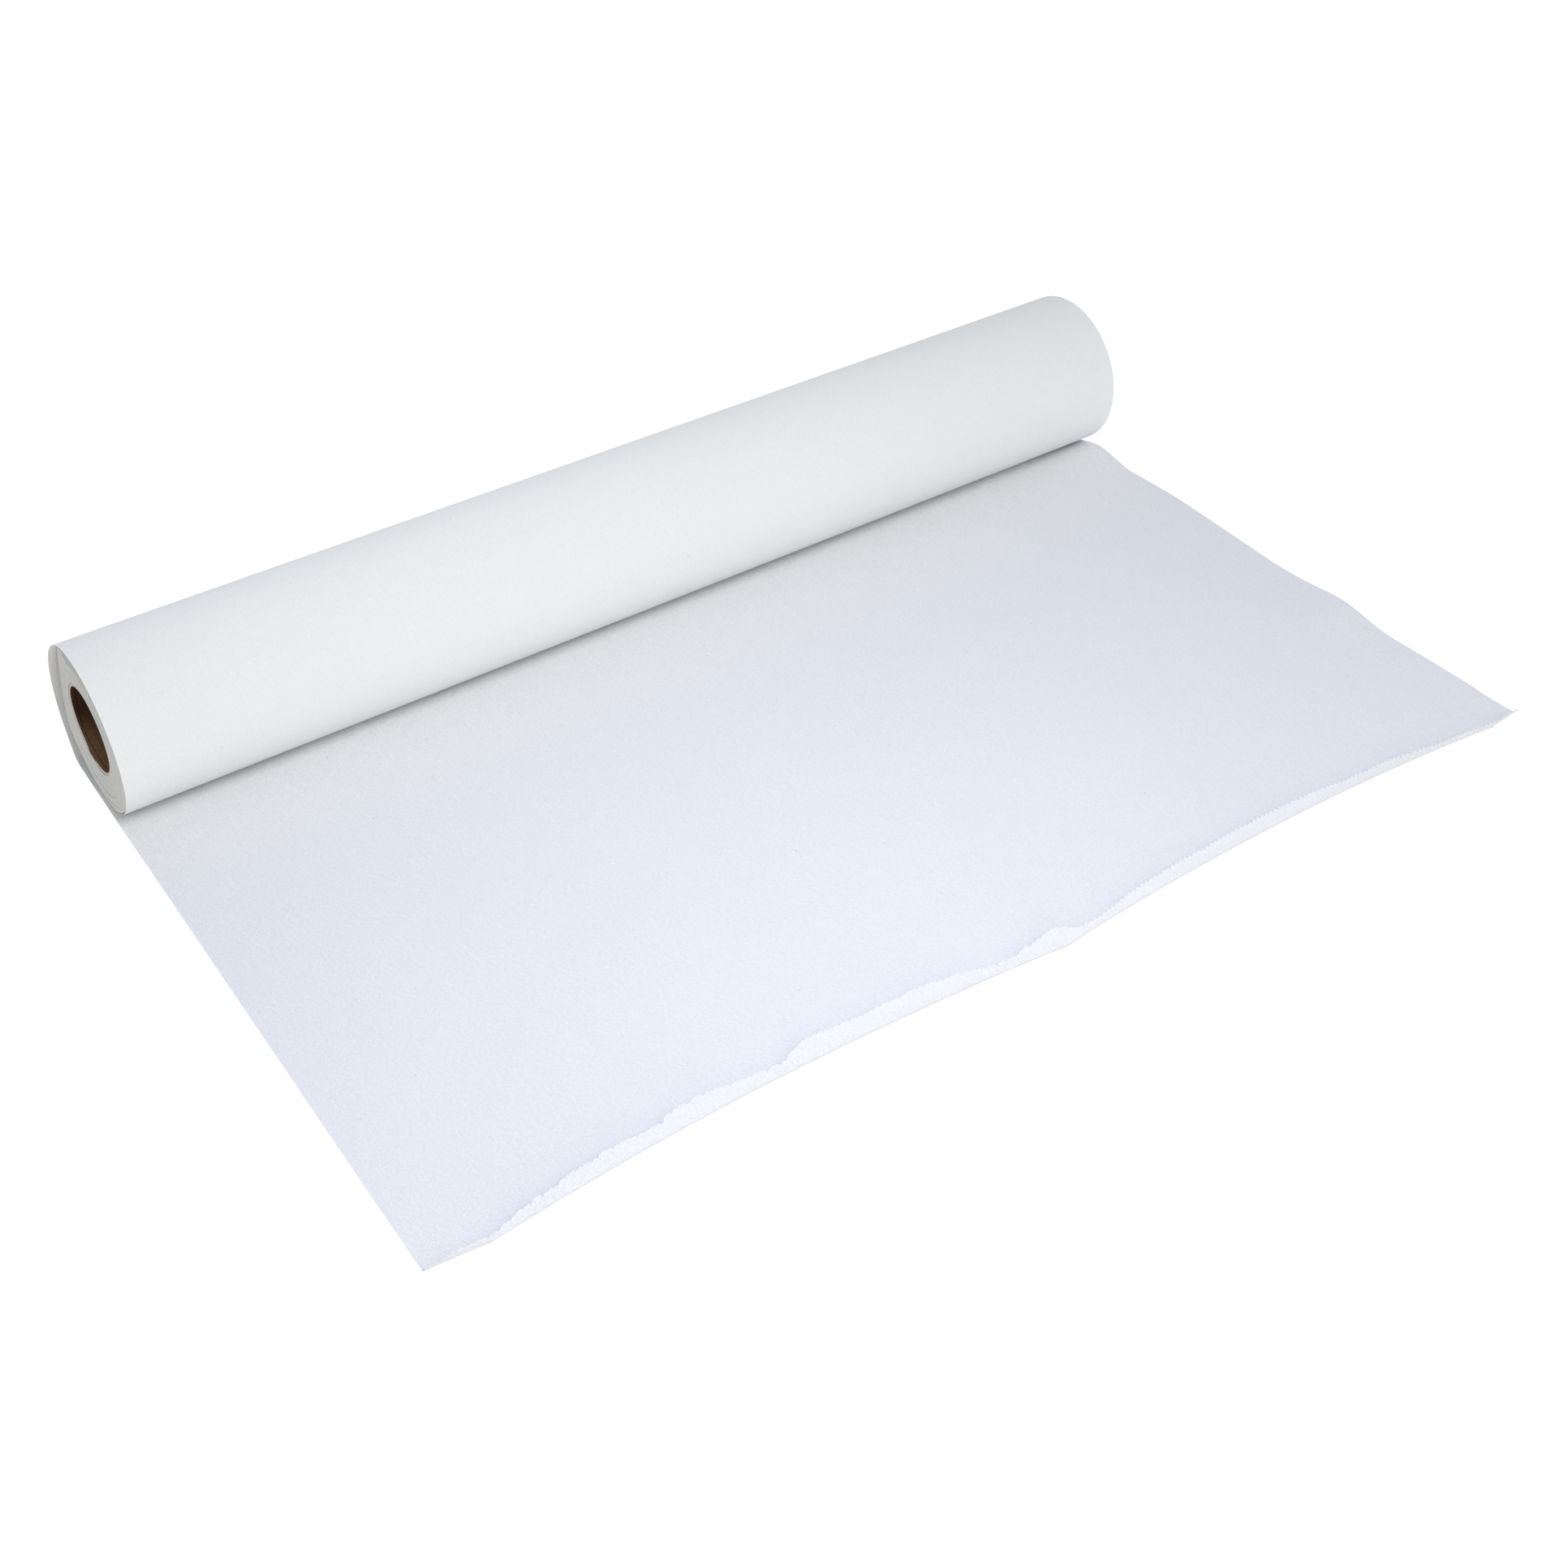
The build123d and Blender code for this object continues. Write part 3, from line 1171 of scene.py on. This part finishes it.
@dataclass
class Studio:
    """Soft light: a pale sky, the glow of the white table from below, and three round lamps."""

    sky: Colour = (0.468, 0.478, 0.505)
    sky_to_right: Colour = (0.118, 0.137, 0.194)
    sky_to_back: Colour = (-0.024, -0.004, -0.008)
    sky_to_top: Colour = (-0.020, 0.0, 0.0)
    table_glow: float = 0.4
    aim: Point = (-0.03, -0.15, 0.0)
    lamps: tuple[Lamp, ...] = (
        Lamp("front_lamp", (-0.20, -0.80, 0.80), 0.6, 1.95, (0.96, 0.97, 1.0)),
        Lamp("low_lamp", (-0.30, -1.00, 0.25), 0.6, 0.75, (1.0, 0.99, 0.65)),
        Lamp("near_lamp", (-0.12, -0.40, 0.45), 0.25, 0.78, (1.0, 0.98, 0.99)),
    )

    def build(self) -> None:
        """Makes the sky and the lamps."""
        world = bpy.data.worlds.new("soft_sky")
        world.use_nodes = True
        bench = NodeBench(world.node_tree)
        x, y, z = bench.split(bench.wire("ShaderNodeTexCoord", "Generated"))
        glow = self.table_glow * (z < 0.0)
        parts = zip(self.sky, self.sky_to_right, self.sky_to_back, self.sky_to_top)
        channels = [
            mean + right * x + back * y + top * z + glow for mean, right, back, top in parts
        ]
        colour = bench.wire("ShaderNodeCombineColor", 0, sockets=dict(enumerate(channels)))
        light = bench.wire("ShaderNodeBackground", 0, sockets={"Color": colour, "Strength": 1.0})
        bench.node("ShaderNodeOutputWorld", sockets={"Surface": light})
        bpy.context.scene.world = world
        for lamp in self.lamps:
            lamp.build(self.aim)
        bpy.context.scene.view_settings.view_transform = "Standard"


@dataclass
class Viewpoint:
    """The camera: in front of the roll's left end, looking down along it."""

    place: Point = (-0.42526, -0.75441, 0.57526)
    aim: Point = (-0.02557, -0.16101, 0.0)
    roll: float = -1.287
    lens: float = 49.197
    sensor: float = 36.0

    def build(self) -> None:
        """Makes the camera and gives it to the scene."""
        ahead = (Vector(self.aim) - Vector(self.place)).normalized()
        level = ahead.cross(Vector((0.0, 0.0, 1.0))).normalized()
        upright = level.cross(ahead)
        tilt = math.radians(self.roll)
        right = level * math.cos(tilt) + upright * math.sin(tilt)
        up = right.cross(ahead)
        turn = Matrix((right, up, -ahead)).transposed().to_4x4()
        camera_data = bpy.data.cameras.new("viewpoint")
        camera_data.lens = self.lens
        camera_data.sensor_width = self.sensor
        camera = into_scene("viewpoint", camera_data)
        camera.matrix_world = Matrix.Translation(Vector(self.place)) @ turn
        bpy.context.scene.camera = camera


def report(piece: bpy.types.Object) -> None:
    """Logs a finished piece and its number of faces."""
    LOG.info("%s: %d faces", piece.name, len(piece.data.polygons))


def main() -> None:
    """Builds the pieces, the light and the camera."""
    logging.basicConfig(level=logging.INFO)
    sizes = RollSizes.from_frame()
    wound = WoundTurns(sizes, EdgeFinish())
    turns = wound.build()
    wound.dress(turns)
    report(turns)
    strip = PaperSheet(sizes, CrepeFinish())
    sheet = strip.build()
    strip.dress(sheet, turns)
    report(sheet)
    tube = CoreTube(sizes, BoardFinish())
    core = tube.build()
    tube.dress(core)
    report(core)
    Table().build()
    Studio().build()
    Viewpoint().build()


if __name__ == "__main__":
    main()
